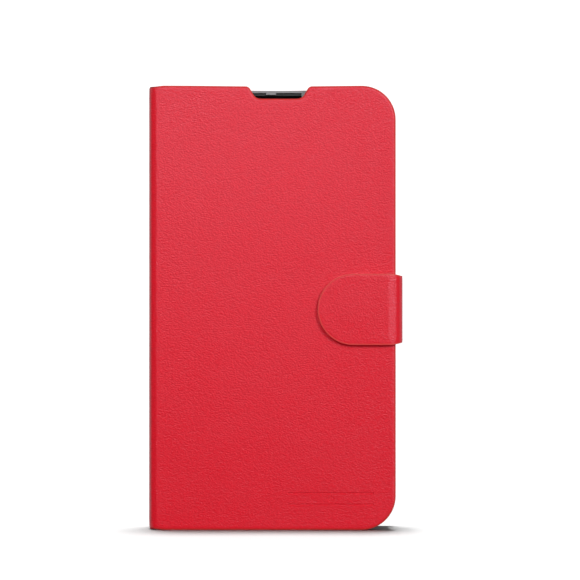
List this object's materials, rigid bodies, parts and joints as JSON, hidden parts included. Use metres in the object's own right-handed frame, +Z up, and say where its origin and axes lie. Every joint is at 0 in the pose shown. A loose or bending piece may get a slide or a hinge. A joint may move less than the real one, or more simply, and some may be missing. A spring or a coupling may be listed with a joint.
{
  "type": "phone wallet case",
  "caption": "Book-style flip wallet case for a large phone, with card pockets, a moulded holder and a magnetic closing strap.",
  "frame": {"origin": "bottom centre of the closed case's box, strap included", "axes": "+Z up the case, +X across it from the spine to the strap, -Y out of the front cover"},
  "size_m": [0.0972, 0.0202, 0.17],
  "materials": {
    "red_leatherette": "fine-grained satin leatherette",
    "suedette": "brushed matt",
    "pocket_leatherette": "fine-grained satin leatherette",
    "thread": "twisted thread",
    "fibreboard": "raw",
    "steel": "plated",
    "black_shell": "fine moulded texture",
    "grey_rim": "satin moulded",
    "microfibre": "brushed matt"
  },
  "bodies": {
    "back_cover": {"back_skin": "red_leatherette", "back_board": "fibreboard", "back_lining": "suedette", "phone_tray": "black_shell", "tray_rim": "grey_rim", "tray_pad": "microfibre", "strap_anchor": "red_leatherette"},
    "spine": {"spine_skin": "red_leatherette", "spine_stiffener": "fibreboard", "spine_lining": "suedette", "front_crease": "red_leatherette", "front_crease_lining": "suedette", "back_crease": "red_leatherette", "back_crease_lining": "suedette"},
    "front_cover": {"front_skin": "red_leatherette", "front_board": "fibreboard", "front_keeper": "steel", "front_lining": "suedette", "cash_pocket": "pocket_leatherette", "card_pocket_top": "pocket_leatherette", "card_pocket_middle": "pocket_leatherette", "card_pocket_bottom": "pocket_leatherette", "pocket_stitching": "thread"},
    "strap_side": {"strap_side": "red_leatherette", "strap_back_bend": "red_leatherette", "strap_front_bend": "red_leatherette"},
    "strap_tab": {"strap_tab": "red_leatherette", "strap_filler": "fibreboard", "strap_magnet": "steel", "strap_tab_lining": "suedette"}
  },
  "joints": [
    {"name": "spine_hinge", "type": "hinge", "parent": "back_cover", "child": "spine", "pos_m": [-0.04773, 0.00923, 0.085], "axis": [0, 0, -1], "range_deg": [0, 175], "deforming": ["back_crease", "back_crease_lining"]},
    {"name": "cover_hinge", "type": "hinge", "parent": "spine", "child": "front_cover", "pos_m": [-0.04773, -0.00703, 0.085], "axis": [0, 0, -1], "range_deg": [0, 175], "deforming": ["front_crease", "front_crease_lining"]},
    {"name": "strap_hinge", "type": "hinge", "parent": "back_cover", "child": "strap_side", "pos_m": [0.04763, 0.00833, 0.0844], "axis": [0, 0, 1], "range_deg": [0, 175], "deforming": ["strap_back_bend"]},
    {"name": "tab_hinge", "type": "hinge", "parent": "strap_side", "child": "strap_tab", "pos_m": [0.04763, -0.00913, 0.0844], "axis": [0, 0, 1], "range_deg": [0, 90], "deforming": ["strap_front_bend"]}
  ]
}
